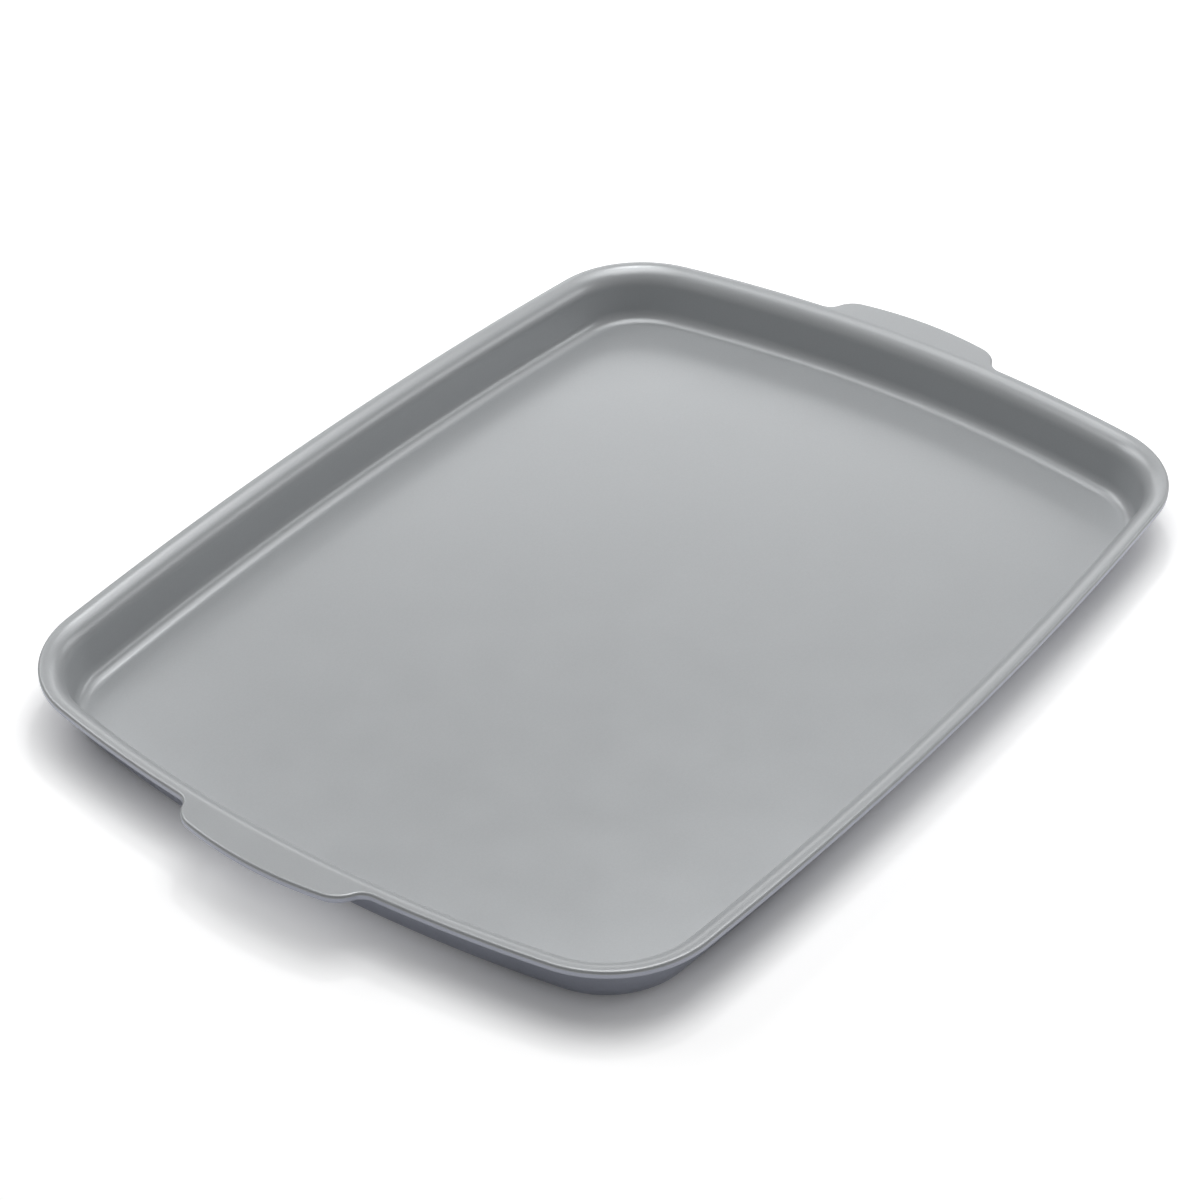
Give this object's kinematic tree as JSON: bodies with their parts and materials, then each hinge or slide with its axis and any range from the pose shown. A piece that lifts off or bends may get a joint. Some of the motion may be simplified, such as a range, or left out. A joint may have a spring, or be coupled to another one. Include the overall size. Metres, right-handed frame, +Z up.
{
  "type": "jelly roll pan",
  "caption": "Rectangular pressed-steel baking pan with bowed sides, rounded corners, sloping walls, a turned-down hemmed edge and a plain handle tab at each end.",
  "frame": {"origin": "centre of the underside, on the surface the pan stands on", "axes": "+X along the pan's length through the middle of both handle tabs, +Y across its width, +Z up"},
  "size_m": [0.4828, 0.339, 0.0271],
  "materials": {
    "steel": "cold-rolled sheet, sealed between the two coats",
    "cooking_coat": "satin light grey ceramic non-stick",
    "outer_coat": "satin bluish grey ceramic"
  },
  "bodies": {
    "root": {"steel_sheet": "steel", "cooking_coat": "cooking_coat", "outer_coat": "outer_coat"}
  },
  "joints": []
}
